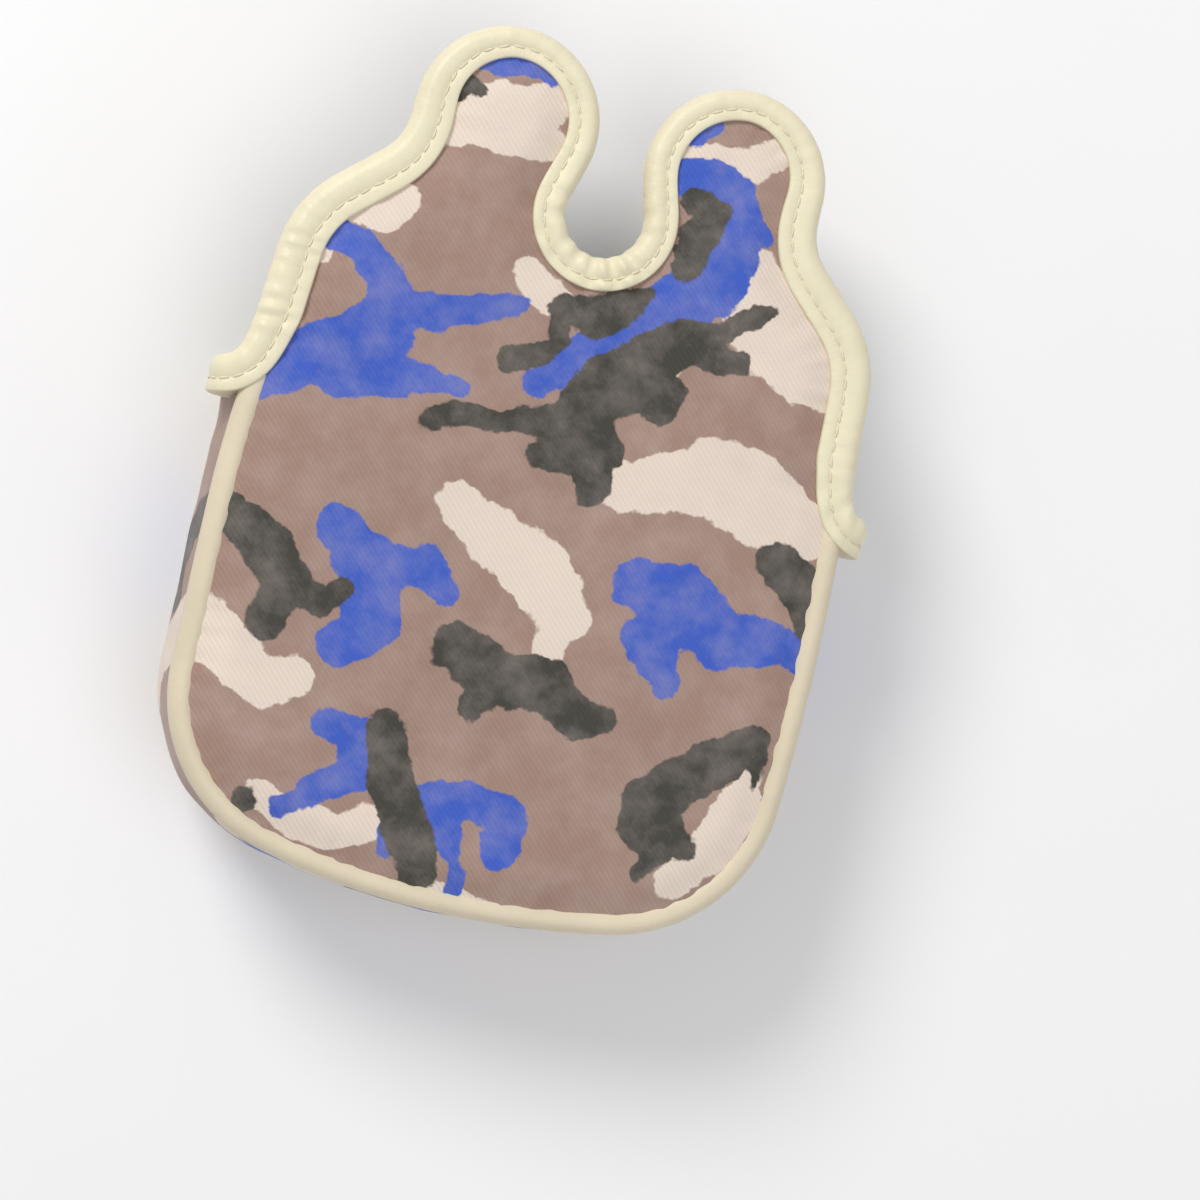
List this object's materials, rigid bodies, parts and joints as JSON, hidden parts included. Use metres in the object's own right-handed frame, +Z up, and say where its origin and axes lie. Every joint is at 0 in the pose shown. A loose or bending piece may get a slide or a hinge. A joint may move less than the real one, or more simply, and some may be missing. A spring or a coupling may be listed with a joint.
{
  "type": "golf putter head cover",
  "caption": "Padded mallet putter head cover in a camouflage print: an open pouch with piped seams and a bound, two-pronged flap that folds over the head and round the shaft.",
  "frame": {"origin": "under the middle of the open cover's length and width, on the surface it lies on", "axes": "+X across the cover towards the right prong seen from the sole side, +Y from the closed end of the pouch to the tips of the prongs, +Z up from the crown panel to the sole panel"},
  "size_m": [0.1362, 0.1754, 0.043],
  "materials": {
    "printed_twill": "matte",
    "plush_lining": "matte",
    "foam": "matte",
    "binding_tape": "satin",
    "piping_leather": "satin",
    "piping_cord": "matte",
    "hook_tape": "matte",
    "loop_tape": "matte"
  },
  "bodies": {
    "pouch": {"sole_panel_fabric": "printed_twill", "sole_panel_foam": "foam", "sole_panel_lining": "plush_lining", "gusset_fabric": "printed_twill", "gusset_foam": "foam", "gusset_lining": "plush_lining", "crown_panel_fabric": "printed_twill", "crown_panel_foam": "foam", "crown_panel_lining": "plush_lining", "sole_piping": "piping_leather", "sole_piping_cord": "piping_cord", "crown_piping": "piping_leather", "crown_piping_cord": "piping_cord", "mouth_binding": "binding_tape", "left_loop_pad": "loop_tape", "right_loop_pad": "loop_tape"},
    "bridge": {"bridge_fabric": "printed_twill", "bridge_foam": "foam", "bridge_lining": "plush_lining", "bridge_left_binding": "binding_tape", "notch_binding": "binding_tape", "bridge_right_binding": "binding_tape"},
    "left_prong": {"left_prong_fabric": "printed_twill", "left_prong_foam": "foam", "left_prong_lining": "plush_lining", "left_prong_binding": "binding_tape", "left_prong_hook_pad": "hook_tape"},
    "right_prong": {"right_prong_fabric": "printed_twill", "right_prong_foam": "foam", "right_prong_lining": "plush_lining", "right_prong_binding": "binding_tape", "right_prong_hook_pad": "hook_tape"}
  },
  "joints": [
    {"name": "flap_fold", "type": "hinge", "parent": "pouch", "child": "bridge", "pos_m": [0, 0.0103, 0.037], "axis": [-1, 0, 0], "range_deg": [0, 90]},
    {"name": "left_prong_fold", "type": "hinge", "parent": "bridge", "child": "left_prong", "pos_m": [0, 0.0485, 0.037], "axis": [-1, 0, 0], "range_deg": [0, 90]},
    {"name": "right_prong_fold", "type": "hinge", "parent": "bridge", "child": "right_prong", "pos_m": [0, 0.0485, 0.037], "axis": [-1, 0, 0], "range_deg": [0, 90]}
  ]
}
